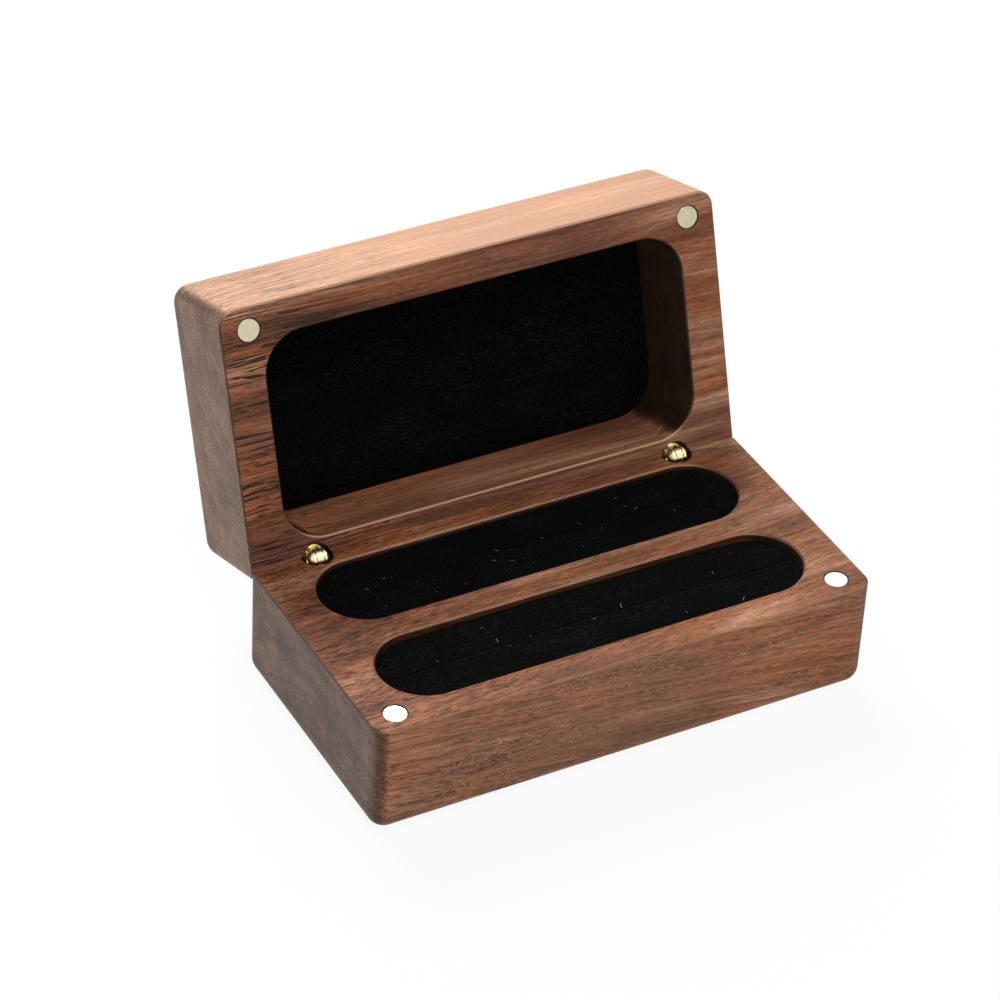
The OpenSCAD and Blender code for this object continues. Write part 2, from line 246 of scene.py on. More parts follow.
class Nodes:
    """Adds linked nodes to a node tree"""

    def __init__(self, tree):
        self.tree = tree

    def link(self, value, socket):
        """Links a socket or a node's first output to a socket, or sets the socket's own value."""
        if isinstance(value, bpy.types.Node):
            value = value.outputs[0]
        if isinstance(value, bpy.types.NodeSocket):
            self.tree.links.new(value, socket)
        elif socket.type == "RGBA":
            socket.default_value = (*value, 1)
        else:
            socket.default_value = value

    def feed(self, node, inputs):
        """Links or sets a node's inputs, which are given by their name or number."""
        for key, value in dict(inputs).items():
            self.link(value, node.inputs[key])

    def add(self, kind, inputs=(), **settings):
        node = self.tree.nodes.new(kind)
        for name, value in settings.items():
            setattr(node, name, value)
        self.feed(node, inputs)
        return node

    def math(self, operation, *values):
        return self.add("ShaderNodeMath", enumerate(values), operation=operation).outputs[0]

    def plus(self, first, second):
        return self.math("ADD", first, second)

    def minus(self, first, second):
        return self.math("SUBTRACT", first, second)

    def times(self, first, second):
        return self.math("MULTIPLY", first, second)

    def larger(self, first, second):
        return self.math("MAXIMUM", first, second)

    def vector(self, operation, *values):
        node = self.add("ShaderNodeVectorMath", enumerate(values), operation=operation)
        number = operation in ("LENGTH", "DOT_PRODUCT", "DISTANCE")
        return node.outputs["Value" if number else "Vector"]

    def scale(self, value, factor):
        node = self.add("ShaderNodeVectorMath", {0: value, "Scale": factor}, operation="SCALE")
        return node.outputs["Vector"]

    def combine(self, *parts):
        return self.add("ShaderNodeCombineXYZ", enumerate(parts)).outputs[0]

    def facing(self, normal, axis):
        """How far a surface faces along an axis, either way, from 0 to 1."""
        return self.math("ABSOLUTE", self.vector("DOT_PRODUCT", normal, axis))

    def stretch(self, place, steps):
        """Place divided by steps along each axis; the steps may be sockets."""
        if any(isinstance(step, bpy.types.NodeSocket) for step in steps):
            steps = self.combine(*steps)
        return self.vector("DIVIDE", place, steps)

    def noise_node(self, place, steps, detail, roughness):
        return self.add(
            "ShaderNodeTexNoise",
            {"Vector": self.stretch(place, steps), "Scale": 1.0, "Detail": detail, "Roughness": roughness},
        )

    def noise(self, place, steps, detail=2.0, roughness=0.5):
        """Noise from 0 to 1 whose grains measure steps along each axis of place."""
        return self.noise_node(place, steps, detail, roughness).outputs[0]

    def wander(self, place, steps, detail, reach):
        """Shift that wanders by half of reach, either way, along each axis."""
        noise = self.noise_node(place, steps, detail, 0.5).outputs["Color"]
        return self.vector("MULTIPLY", self.vector("SUBTRACT", noise, (0.5, 0.5, 0.5)), reach)

    def smooth(self, value, low, high, out_low=0.0, out_high=1.0):
        """Soft step from out_low, where value is at low, to out_high, where it is at high."""
        inputs = enumerate((value, low, high, out_low, out_high))
        return self.add("ShaderNodeMapRange", inputs, interpolation_type="SMOOTHSTEP").outputs[0]

    def mix(self, factor, first, second):
        """Colour that goes from first to second as factor goes from 0 to 1."""
        # The colours are inputs 6 and 7, and output 2
        inputs = {"Factor": factor, 6: first, 7: second}
        return self.add("ShaderNodeMix", inputs, data_type="RGBA").outputs[2]

    def bump(self, shader, height, strength, distance):
        """Gives a shader a fine relief from a height."""
        inputs = {"Height": height, "Strength": strength, "Distance": distance}
        self.link(self.add("ShaderNodeBump", inputs), shader.inputs["Normal"])


def shader_group(name, inputs, outputs):
    """New shader node group, as (group, helper, inputs by name, output node).
    inputs and outputs hold the names of the sockets of each kind."""
    group = bpy.data.node_groups.new(name, "ShaderNodeTree")
    for in_out, sockets in (("INPUT", inputs), ("OUTPUT", outputs)):
        for kind, names in sockets.items():
            for socket in names:
                group.interface.new_socket(socket, in_out=in_out, socket_type="NodeSocket" + kind)
    helper = Nodes(group)
    return group, helper, helper.add("NodeGroupInput").outputs, helper.add("NodeGroupOutput")


def material(name, values):
    """New material, as (material, helper, shader). Its values are set on the shader's own sockets."""
    made = bpy.data.materials.new(name)
    made.use_nodes = True
    shader = made.node_tree.nodes["Principled BSDF"]
    for key, value in values.items():
        shader.inputs[key].default_value = value
    return made, Nodes(made.node_tree), shader


# In the groups, the three numbers of a noise are the size of its grains in millimetres along X, Y and Z
def growth_rings(add, grain, ring_gap):
    """Masks of each year's darker late wood, and of the dark line that ends some of the years."""
    radius = add.vector("LENGTH", add.vector("MULTIPLY", grain, (0, 1, 1)))
    years = add.math("DIVIDE", radius, ring_gap)
    # The years are uneven
    uneven = add.add("ShaderNodeTexNoise", {"W": years, "Scale": 0.45, "Detail": 1.0}, noise_dimensions="1D")
    years = add.plus(years, add.times(uneven, 3.2))
    season = add.math("FRACT", years)
    year = add.math("FLOOR", years)
    tone = add.add("ShaderNodeTexWhiteNoise", {"W": year}, noise_dimensions="1D").outputs["Value"]
    before_spring = add.smooth(season, 0.95, 1.0, 1.0, 0.0)
    late = add.times(add.smooth(season, 0.3, 0.95), before_spring)
    line = add.times(add.smooth(season, 0.86, 0.94), before_spring)
    return (
        add.times(late, add.smooth(tone, 0.1, 0.9, 0.2, 1.0)),
        add.times(line, add.smooth(tone, 0.45, 0.8)),
    )


def dark_lines(add, place, grain, line_gap, ring_line):
    """Mask of thin dark lines along the grain: the peaks of a stretched noise, denser in some places."""
    stretched = add.noise(grain, (24.0, line_gap, line_gap))
    density = add.noise(place, (32, 7, 7), detail=1.0)
    start = add.smooth(density, 0.35, 0.65, 0.58, 0.48)
    line = add.smooth(stretched, start, add.plus(start, 0.06))
    return add.larger(line, add.times(ring_line, 0.8))


def pores(add, place, grain, pore_gap, line_strength):
    """Mask of short dark pores, which are fewer in some bands and where the lines are weak."""
    cell_place = add.stretch(place, (2.8, pore_gap, pore_gap))
    cells = add.add("ShaderNodeTexVoronoi", {"Vector": cell_place, "Scale": 1.0}).outputs["Distance"]
    density = add.smooth(add.noise(grain, (30, 3, 3), detail=1.0), 0.35, 0.62, 0.2, 1.0)
    pore = add.times(add.smooth(cells, 0.2, 0.42, 1.0, 0.0), density)
    return add.times(pore, add.smooth(line_strength, 0.0, 0.5, 0.1, 1.0))


def front_glints(add, place, normal, strength):
    """Mask of painted glints: bright specks beside the pores of the front, in patches along the grain."""
    speck = add.smooth(add.noise(place, (0.75, 0.4, 0.3), roughness=0.6), 0.58, 0.66)
    speck = add.times(speck, add.smooth(add.facing(normal, (0, 1, 0)), 0.7, 0.95))
    patch = add.smooth(add.noise(place, (22, 5, 4)), 0.46, 0.62)
    return add.times(speck, add.times(patch, strength))


def lip_highlights(add, normal, open_side, strength):
    """Mask of painted highlights on the lips that face half away from the open side, and upwards."""
    facing = add.facing(normal, open_side)
    lip = add.times(add.smooth(facing, 0.6, 0.68), add.smooth(facing, 0.74, 0.82, 1.0, 0.0))
    upwards = add.smooth(add.vector("DOT_PRODUCT", normal, (0, 0, 1)), 0.3, 0.6)
    return add.times(lip, add.times(upwards, strength))


def walnut_group():
    """Solid walnut in millimetres: its grain runs along X, and its growth rings circle the X axis."""
    group, add, given, result = shader_group(
        "Walnut grain",
        {
            "Vector": ("Place", "Normal", "Lit side", "Open side"),
            "Color": ("Pale", "Brown", "Plum", "Dark", "Streak", "End grain"),
            "Float": [f"{thing} gap" for thing in GAPS]
            + [f"{thing} strength" for thing in ("Line", "Speck", "Lip")],
        },
        {"Color": ("Color",), "Float": ("Roughness", "Height")},
    )
    place = given["Place"]
    normal = given["Normal"]
    line_strength = given["Line strength"]
    # The grain wanders slowly, and a little faster on a small scale
    drift = add.wander(place, (60, 28, 28), detail=1.0, reach=(0, 6, 6))
    ripple = add.wander(place, (13, 4, 4), detail=2.0, reach=(0, 0.8, 0.8))
    grain = add.vector("ADD", place, add.vector("ADD", drift, ripple))
    ring, ring_line = growth_rings(add, grain, given["Ring gap"])
    fibre = add.noise(grain, (22.0, given["Fibre gap"], given["Fibre gap"]), detail=4.0, roughness=0.7)
    pore = pores(add, place, grain, given["Pore gap"], line_strength)
    # Broad bands of paler and darker wood with cooler patches, then rings and fibres
    band = add.noise(grain, (75, 7, 7), detail=2.5, roughness=0.55)
    patch = add.noise(grain, (45, 16, 16), detail=1.0)
    tone = add.mix(add.smooth(patch, 0.42, 0.62), given["Brown"], given["Plum"])
    tone = add.mix(add.smooth(band, 0.5, 0.3, 0.0, 0.7), tone, given["Pale"])
    tone = add.mix(add.smooth(band, 0.5, 0.74, 0.0, 0.85), tone, given["Dark"])
    tone = add.mix(add.times(ring, 0.5), tone, given["Dark"])
    tone = add.scale(tone, add.smooth(fibre, 0.3, 0.7, 0.64, 1.33))
    grit = add.noise(place, (1.8, 0.26, 0.26), detail=1.0)
    tone = add.scale(tone, add.smooth(grit, 0.25, 0.75, 0.8, 1.2))
    # Painted light: the side that faces the lamps is painted paler, and keeps some streaks where the lines
    # are strong
    side_light = add.smooth(add.vector("DOT_PRODUCT", normal, given["Lit side"]), 0.6, 0.95)
    tone = add.mix(add.times(side_light, 0.72), tone, given["Pale"])
    streak = add.times(add.smooth(fibre, 0.35, 0.65, -0.24, 0.22), line_strength)
    tone = add.scale(tone, add.plus(1.0, add.times(side_light, streak)))
    # Lines and pores, which the painted light on that side weakens
    line = add.times(dark_lines(add, place, grain, given["Line gap"], ring_line), line_strength)
    line = add.times(line, add.smooth(side_light, 0.0, 1.0, 1.0, 0.55))
    tone = add.mix(line, tone, given["Streak"])
    tone = add.mix(add.times(pore, add.smooth(side_light, 0.0, 1.0, 0.6, 0.25)), tone, given["Streak"])
    # Painted highlights: glints beside the pores and highlights on the lips are painted paler
    tone = add.mix(front_glints(add, place, normal, given["Speck strength"]), tone, given["Pale"])
    tone = add.mix(lip_highlights(add, normal, given["Open side"], given["Lip strength"]), tone, given["Pale"])
    # End grain is cooler and more even, and the wood is darker where the surface turns into it
    facing = add.facing(normal, (1, 0, 0))
    mottle = add.smooth(add.noise(place, (30, 9, 6), detail=3.0, roughness=0.6), 0.3, 0.7, 0.74, 1.2)
    end = add.scale(add.mix(0.78, tone, given["End grain"]), mottle)
    end = add.mix(add.times(ring, 0.3), end, given["Dark"])
    end = add.mix(add.times(pore, 0.4), end, given["Streak"])
    tone = add.mix(add.smooth(facing, 0.45, 0.95), tone, end)
    turned_dark = add.times(add.smooth(facing, 0.25, 0.6), add.smooth(facing, 0.75, 0.985, 1.0, 0.0))
    tone = add.mix(add.times(turned_dark, 0.58), tone, given["Streak"])
    rough = add.plus(add.smooth(fibre, 0.3, 0.7, 0.5, 0.42), add.times(pore, 0.2))
    height = add.minus(add.times(fibre, 0.35), add.times(pore, 0.8))
    height = add.minus(height, add.times(line, 0.4))
    add.feed(result, {"Color": tone, "Roughness": rough, "Height": height})
    return group


def hole_mask(add, upright, middle, radius):
    """1 within radius of upright holes at plus and minus middle's x, seen in the shut box."""
    folded = add.vector("MULTIPLY", add.vector("ABSOLUTE", upright), (1, 0, 0))
    across = add.vector("ADD", folded, add.vector("MULTIPLY", upright, (0, 1, 0)))
    distance = add.vector("DISTANCE", across, middle / MM)
    return add.smooth(distance, radius / MM - RIM_BLUR, radius / MM + RIM_BLUR, 1.0, 0.0)


def shaded_holes(add, upright, from_seam, from_rear, settings):
    """Mask of painted shade in the holes of the hinges and the magnets."""
    low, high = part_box("left_hinge_pin")
    hinge = Vector((abs(low.x + high.x) / 2, PIVOT.y + settings.hinge_shift, 0))
    low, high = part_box("base_magnet_left")
    magnet = Vector((abs(low.x + high.x) / 2, (low.y + high.y) / 2, 0))
    painted_shade = add.larger(
        hole_mask(add, upright, hinge, settings.hinge_shade),
        hole_mask(add, upright, magnet, settings.magnet_shade),
    )
    painted_shade = add.times(painted_shade, add.smooth(from_seam, *HOLE_SHADE_DEPTH, HOLE_SHADE_STRENGTH, 0.0))
    # The rear faces get no painted shade
    return add.times(painted_shade, add.smooth(from_rear, *REAR_EDGE))


def inside_cuts(add, upright, from_seam, outer_face):
    """1 inside the cuts that hold the pads and the lining, and 0 on the mating and outer faces."""
    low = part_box("front_pad_velvet_front")[0]
    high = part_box("rear_pad_velvet_rear")[1]
    corner = Vector((high.x, max(high.y, -low.y), 0)) / MM + Vector((CUT_MARGIN, CUT_MARGIN, 0))
    past = add.vector("SUBTRACT", add.vector("ABSOLUTE", upright), corner)
    past = add.add("ShaderNodeSeparateXYZ", {0: past})
    inside = add.math("LESS_THAN", add.larger(past.outputs["X"], past.outputs["Y"]), 0.0)
    inside = add.times(inside, add.smooth(from_seam, *SEAM_EDGE))
    return add.times(inside, add.minus(1.0, outer_face))


def wood_material(name, settings, group, block):
    """Walnut of one block. Its swing shuts it; turn and shift then take it to the tree it was cut from."""
    made, add, shader = material(name, {"Specular IOR Level": 0.16})
    coordinates = add.add("ShaderNodeTexCoord")
    normal = coordinates.outputs["Normal"]
    upright = add.add(
        "ShaderNodeMapping",
        {
            "Vector": coordinates.outputs["Object"],
            "Location": block["swing_shift"],
            "Rotation": (block["swing"], 0, 0),
            "Scale": (1 / MM,) * 3,
        },
    ).outputs[0]
    place = add.add(
        "ShaderNodeMapping", {"Vector": upright, "Location": block["shift"], "Rotation": block["turn"]}
    )
    parts = add.add("ShaderNodeSeparateXYZ", {0: upright}).outputs
    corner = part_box("base_block")[1] / MM
    from_seam = add.math("ABSOLUTE", add.minus(parts["Z"], corner.z))
    from_rear = add.minus(corner.y, parts["Y"])
    outer_face = add.smooth(from_seam, corner.z - SKIN[0], corner.z - SKIN[1])
    rear_face = add.smooth(parts["Y"], corner.y - SKIN[0], corner.y - SKIN[1])
    inside = inside_cuts(add, upright, from_seam, outer_face)
    # The painted light on the lit side is a little weaker towards the right end, and weaker again inside the
    # cuts
    side_light_share = add.smooth(parts["X"], 0.0, corner.x, 1.0, 0.88)
    side_light_share = add.minus(side_light_share, add.times(inside, 0.3))
    # The thin dark lines are stronger towards the left end, and on the outer and rear faces
    line_strength = add.smooth(parts["X"], -corner.x, 0.0, *block["line_strengths"])
    line_strength = add.larger(line_strength, add.times(add.larger(outer_face, rear_face), 0.7))
    sockets = {
        "Place": place,
        "Normal": normal,
        "Lit side": add.scale(block["lit_side"], side_light_share),
        "Open side": block["open_side"],
        "Pale": settings.pale,
        "Brown": block["brown"],
        "Plum": block["plum"],
        "Dark": settings.dark,
        "Streak": settings.streak,
        "End grain": block["end_grain"],
        **{f"{thing} gap": getattr(settings, f"{thing.lower()}_gap") / MM for thing in GAPS},
        "Line strength": line_strength,
        "Speck strength": block["glint_strength"],
        "Lip strength": block["lip_highlight_strength"],
    }
    wood = add.add("ShaderNodeGroup", sockets, node_tree=group)
    # Painted shade and light inside the cuts: walls that face one way are painted darker as shade, and
    # others a little paler as light
    facing = add.facing(normal, block["wall_axis"])
    shaded_walls = add.times(inside, add.smooth(facing, *WALL_TURN, *block["wall_shade"]))
    wall_light = add.times(inside, add.smooth(facing, *WALL_TURN, *block["wall_light"]))
    painted_shade = add.larger(shaded_holes(add, upright, from_seam, from_rear, settings), shaded_walls)
    tone = add.scale(wood.outputs["Color"], add.plus(1.0, wall_light))
    tone = add.mix(painted_shade, tone, settings.painted_shade)
    add.feed(shader, {"Base Color": tone, "Roughness": wood.outputs["Roughness"]})
    add.bump(shader, wood.outputs["Height"], strength=0.35, distance=0.06 * MM)
    return made


def dress(names, made):
    """Gives CAD nodes their material."""
    for name in names:
        for slot in frame["nodes"][name].material_slots:
            slot.material = made


def base_look(settings):
    """The base was cut far from the heart of the tree, so its top shows long open figures."""
    return {
        "swing": 0.0,
        "swing_shift": (0, 0, 0),
        "turn": (0.02, -0.09, -0.05),
        "shift": (37, 10, 46),
        # Painted light: the front face is painted paler
        "lit_side": (0, -0.72, 0),
        "open_side": (0, 0, 1),
        "brown": settings.brown,
        "plum": settings.plum,
        "end_grain": settings.end_grain,
        # At the left end, and from the middle on
        "line_strengths": (0.62, 0.32),
        "glint_strength": 0.75,
        "lip_highlight_strength": 0.45,
        # Shares of painted shade and of painted light on walls that stand across the wall axis, and on walls
        # that face along it
        "wall_axis": (0, 0, 1),
        "wall_shade": (0.75, 0.0),
        "wall_light": (0.0, 0.0),
    }


def lid_look(settings):
    """The lid's rings stand across its mating face. Its front side, which points up, is painted paler as
    painted light.
    """
    pivot = PIVOT / MM
    return {
        "swing": SWING,
        "swing_shift": pivot - Matrix.Rotation(SWING, 3, "X") @ pivot,
        "turn": (0, 0, 0),
        "shift": (140, 38, -6),
        "lit_side": OPENED @ Vector((0, -1, 0)),
        "open_side": OPENED @ Vector((0, 0, -1)),
        "brown": settings.lid_brown,
        "plum": settings.lid_plum,
        "end_grain": settings.lid_end_grain,
        "line_strengths": (1.0, 0.14),
        "glint_strength": 0.0,
        "lip_highlight_strength": 0.8,
        # Painted shade on the pocket's end walls, and painted light on its other walls
        "wall_axis": (1, 0, 0),
        "wall_shade": (0.0, 0.8),
        "wall_light": (0.42, 0.0),
    }


class DISPLAYBOX_OT_wood(bpy.types.Operator):
    """Finish the two walnut blocks"""

    bl_idname = "display_box.wood"
    bl_label = "Walnut blocks"

    def execute(self, context):
        settings = context.scene.display_box.wood
        group = walnut_group()
        dress(["base_block"], wood_material("walnut_base", settings, group, base_look(settings)))
        dress(["lid_block"], wood_material("walnut_lid", settings, group, lid_look(settings)))
        return {"FINISHED"}


def add_object(name, data):
    """New object at the origin, in the scene."""
    made = bpy.data.objects.new(name, data)
    bpy.context.scene.collection.objects.link(made)
    return made


def mesh_object(name, vertices, faces, made):
    """New smooth mesh object at the origin with outward faces."""
    mesh = bpy.data.meshes.new(name)
    mesh.from_pydata(vertices, [], faces)
    work = bmesh.new()
    work.from_mesh(mesh)
    bmesh.ops.remove_doubles(work, verts=work.verts, dist=SAME_POINT * MM)
    bmesh.ops.recalc_face_normals(work, faces=work.faces)
    work.to_mesh(mesh)
    work.free()
    mesh.shade_smooth()
    mesh.materials.append(made)
    return add_object(name, mesh)


def rings_mesh(rings):
    """Vertices and quad faces of a stack of closed rings that all have the same number of points."""
    count = len(rings[0])
    vertices = [point for ring in rings for point in ring]
    faces = []
    for k in range(len(rings) - 1):
        for i in range(count):
            j = (i + 1) % count
            faces.append((k * count + i, k * count + j, (k + 1) * count + j, (k + 1) * count + i))
    return vertices, faces


def steps(first, last, count):
    """Evenly spaced values from first up to but without last."""
    return [first + (last - first) * i / count for i in range(count)]


class HalfPad:
    """Plan of a half pad: half of a round-ended slot, cut along its middle line"""

    arc_count = 10
    straight_count = 56

    def __init__(self, low, high, outer, slit_half, pile_half):
        """low and high are the node's corners; outer is the side away from the slit, -1 or 1.
        slit_half is half the slit's width in the node, and pile_half what the pile leaves of it."""
        self.outer = outer
        self.low = low
        self.high = high
        self.pile_half = pile_half
        self.width = high.y - low.y
        self.radius = self.width + slit_half
        self.middle_x = (low.x + high.x) / 2
        self.middle_y = (high.y if outer < 0 else low.y) - outer * slit_half

    def ring(self, inset, height, slit_share=1.0):
        """Closed outline drawn in by inset, and by slit_share of inset at the slit."""
        radius = self.radius - inset
        near = self.pile_half + inset * slit_share
        centre = (self.high.x - self.low.x) / 2 - self.radius
        reach = math.sqrt(max(radius * radius - near * near, 0.0))
        first = math.asin(min(near / radius, 1.0))
        outwards = steps(first, math.pi / 2, self.arc_count)
        inwards = steps(math.pi / 2, first, self.arc_count)
        shares = steps(0, 1, self.arc_count)
        points = [(centre + reach - reach * t, near) for t in shares]
        points += [(x, near) for x in steps(centre, -centre, self.straight_count)]
        points += [(-centre - reach * t, near) for t in shares]
        points += [(-centre - radius * math.cos(a), radius * math.sin(a)) for a in outwards]
        points += [(x, radius) for x in steps(-centre, centre, self.straight_count)]
        points += [(centre + radius * math.cos(a), radius * math.sin(a)) for a in inwards]
        return [Vector((self.middle_x + x, self.middle_y + self.outer * y, height)) for x, y in points]


def bulge(settings, pad):
    """How far the middle of a slot's pads bulges over their ends."""
    return settings.front_rise if pad == "front_pad" else settings.rear_rise


def pad_rise(x, low, high, rise):
    """How far a pad bulges up at x: most at its middle, and nothing at its ends."""
    half = (high.x - low.x) / 2
    return rise * max(0.0, 1 - ((x - low.x - half) / half) ** 2)


def pad_mesh(plan, bottom, top, shoulder, crown, rise):
    """Closed soft form over a half pad's plan: upright sides, round shoulders, a low crown and a bulge."""
    deepest = plan.width / 2
    slit_share = 0.25
    shoulder_steps = 6
    crown_steps = 9
    wall_steps = 8
    edge = top - crown - shoulder
    rings = [plan.ring(deepest * t, bottom) for t in (1.0, 0.5)]
    rings += [plan.ring(0.0, bottom + (edge - bottom) * t) for t in steps(0, 1, wall_steps)]
    for t in steps(0, math.pi / 2, shoulder_steps):
        inset = shoulder * (1 - math.cos(t))
        rings.append(plan.ring(inset, edge + shoulder * math.sin(t), slit_share))
    for k in range(crown_steps + 1):
        t = k / crown_steps
        inset = shoulder + (deepest - shoulder) * t
        rings.append(plan.ring(inset, top - crown * (1 - t) ** 2, slit_share + (1 - slit_share) * t))
    for ring in rings:
        for point in ring:
            lift = min(max((point.z - bottom) / (edge - bottom), 0.0), 1.0)
            point.z += lift * pad_rise(point.x, plan.low, plan.high, rise)
    vertices, faces = rings_mesh(rings)
    # The first and the last ring are closed across, from one long side to the other
    count = len(rings[0])
    last = len(vertices) - count
    for i in range(count // 2 - 1):
        across = (i, i + 1, count - 2 - i, count - 1 - i)
        faces.append(tuple(reversed(across)))
        faces.append(tuple(last + k for k in across))
    return vertices, faces


def velvet_group():
    """Short velvet pile: clumps of pile, brushed patches and fine fuzz."""
    group, add, given, result = shader_group(
        "Velvet pile",
        {"Vector": ("Place",), "Color": ("Pile", "Brushed")},
        {"Color": ("Color",), "Float": ("Height",)},
    )
    place = given["Place"]
    fuzz = add.noise(place, (0.32, 0.32, 0.32), detail=3.0, roughness=0.75)
    clumps = add.noise(place, (1.6, 1.1, 1.1))
    brushed = add.noise(place, (14, 6, 6))
    light = add.times(add.smooth(fuzz, 0.52, 0.68), add.smooth(brushed, 0.35, 0.7, 0.35, 1.0))
    height = add.plus(fuzz, add.times(clumps, 0.8))
    add.feed(result, {"Color": add.mix(light, given["Pile"], given["Brushed"]), "Height": height})
    return group


def object_place(add):
    """Object coordinates in millimetres."""
    return add.add(
        "ShaderNodeMapping",
        {"Vector": add.add("ShaderNodeTexCoord").outputs["Object"], "Scale": (1 / MM,) * 3},
    )


def velvet_material(name, settings, group):
    made, add, shader = material(
        name, {"Roughness": 1.0, "Specular IOR Level": 0.03, "Sheen Weight": 0.01, "Sheen Roughness": 0.4}
    )
    sockets = {"Place": object_place(add), "Pile": settings.pile, "Brushed": settings.pile_light}
    pile = add.add("ShaderNodeGroup", sockets, node_tree=group)
    add.link(pile.outputs["Color"], shader.inputs["Base Color"])
    add.bump(shader, pile.outputs["Height"], strength=0.6, distance=0.15 * MM)
    return made


def foam_material(settings):
    """Open-cell foam: small dark cells in an even grey."""
    made, add, shader = material("foam", {"Roughness": 0.95})
    place = object_place(add)
    cells = add.add("ShaderNodeTexVoronoi", {"Vector": place, "Scale": 2.4}).outputs["Distance"]
    tint = add.smooth(add.noise(place, (5, 5, 5)), 0.2, 0.8, 0.85, 1.0)
    light = add.times(add.smooth(cells, 0.1, 0.6, 0.45, 1.0), tint)
    add.link(add.mix(light, (0.01, 0.01, 0.01), settings.foam), shader.inputs["Base Color"])
    add.bump(shader, cells, strength=0.8, distance=0.2 * MM)
    return made


def card_material(settings):
    """Grey card with pressed paper fibres."""
    made, add, shader = material("card", {"Roughness": 0.9})
    place = object_place(add)
    fibres = add.noise(place, (2.2, 0.35, 0.35), detail=4.0, roughness=0.7)
    flecks = add.smooth(add.noise(place, (0.9, 0.9, 0.9)), 0.64, 0.72)
    tone = add.mix(add.smooth(fibres, 0.3, 0.7, 0.0, 0.35), settings.card, (0.16, 0.15, 0.13))
    tone = add.mix(add.times(flecks, 0.5), tone, (0.08, 0.07, 0.06))
    add.link(tone, shader.inputs["Base Color"])
    add.bump(shader, fibres, strength=0.3, distance=0.05 * MM)
    return made


class DISPLAYBOX_OT_pads(bpy.types.Operator):
    """Build the four half pads of the slots: a foam core in a velvet cover each"""

    bl_idname = "display_box.pads"
    bl_label = "Slot pads"

    def execute(self, context):
        settings = context.scene.display_box.velvet
        velvet = velvet_material("velvet_pads", settings, velvet_group())
        foam = foam_material(settings)
        for pad in PADS:
            rise = bulge(settings, pad)
            for half, outer in (("front", -1), ("rear", 1)):
                # The pile of the two halves nearly closes the slit, and the foam stays out of it
                layers = (("velvet", velvet, settings.slit_share), ("foam", foam, 1.0))
                for layer, made, open_share in layers:
                    node = f"{pad}_{layer}_{half}"
                    low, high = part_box(node)
                    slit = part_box(f"{pad}_{layer}_rear")[0].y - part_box(f"{pad}_{layer}_front")[1].y
                    plan = HalfPad(low, high, outer, slit / 2, slit / 2 * open_share)
                    shape = pad_mesh(plan, low.z, high.z, settings.shoulder, settings.crown, rise)
                    piece = mesh_object(f"{pad}_{half}_{layer}", *shape, made)
                    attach(piece, "base")
                    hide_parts(node)
        return {"FINISHED"}


def rounded_ring(half, radius, inset, height):
    """Closed outline, drawn in by inset, of a rectangle with round corners."""
    arc_count = 8
    side_count = 20
    points = []
    r = max(radius - inset, 0.0)
    centre = half - Vector((1, 1, 0)) * max(radius, inset)
    corners = ((1, 1, 0), (-1, 1, 1), (-1, -1, 2), (1, -1, 3))
    for (sx, sy, quarter), (next_x, next_y, _) in zip(corners, corners[1:] + corners[:1]):
        end = (quarter + 1) * math.pi / 2
        for a in steps(quarter * math.pi / 2, end, arc_count):
            points.append((sx * centre.x + r * math.cos(a), sy * centre.y + r * math.sin(a)))
        reach = Vector((r * math.cos(end), r * math.sin(end)))
        start = Vector((sx * centre.x, sy * centre.y)) + reach
        stop = Vector((next_x * centre.x, next_y * centre.y)) + reach
        points += [tuple(start.lerp(stop, t)) for t in steps(0, 1, side_count)]
    return [Vector((x, y, height)) for x, y in points]


def lining_rings(velvet, card, settings):
    """Rings of the velvet from its face's middle, over its edge and in behind the card.
    velvet and card are the low and high corners in the shut box, where the pile faces down."""
    low, high = velvet
    half = (high - low) / 2
    wall = half.x - (card[1].x - card[0].x) / 2
    radius = settings.lining_corner
    edge = settings.lining_edge
    rise = settings.lining_rise
    face_steps = 8
    places = []
    for t in (k / face_steps for k in range(face_steps + 1)):
        places.append((half.y * (1 - t) + edge * t, low.z + rise * t ** 3))
    for a in steps(0, math.pi / 2, 5):
        places.append((edge * (1 - math.sin(a)), low.z + rise + (edge - rise) * (1 - math.cos(a))))
    places += [(0.0, low.z + edge), (0.0, high.z), (wall, high.z), (wall, card[0].z), (half.y, card[0].z)]
    return [rounded_ring(half, radius, inset, height) for inset, height in places]


def shut_box(node, shut):
    """Lowest and highest corner of a lid node once the lid is shut."""
    points = [shut @ vertex.co for vertex in frame["nodes"][node].data.vertices]
    return tuple(Vector([pick(point[axis] for point in points) for axis in range(3)]) for pick in (min, max))


class DISPLAYBOX_OT_lining(bpy.types.Operator):
    """Build the velvet that wraps the card at the bottom of the lid's pocket"""

    bl_idname = "display_box.lining"
    bl_label = "Lid lining"

    def execute(self, context):
        settings = context.scene.display_box.velvet
        dress(["lid_lining_board"], card_material(settings))
        pivot = Matrix.Translation(PIVOT)
        shut = pivot @ Matrix.Rotation(SWING, 4, "X") @ pivot.inverted()
        low, high = shut_box("lid_lining_velvet", shut)
        rings = lining_rings((low, high), shut_box("lid_lining_board", shut), settings)
        vertices, faces = rings_mesh(rings)
        middle = (low + high) / 2
        back = shut.inverted()
        placed = [back @ (vertex + Vector((middle.x, middle.y, 0))) for vertex in vertices]
        velvet = velvet_material("velvet_lining", settings, bpy.data.node_groups["Velvet pile"])
        piece = mesh_object("lid_lining_cover", placed, faces, velvet)
        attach(piece, "lid")
        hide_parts("lid_lining_velvet")
        return {"FINISHED"}


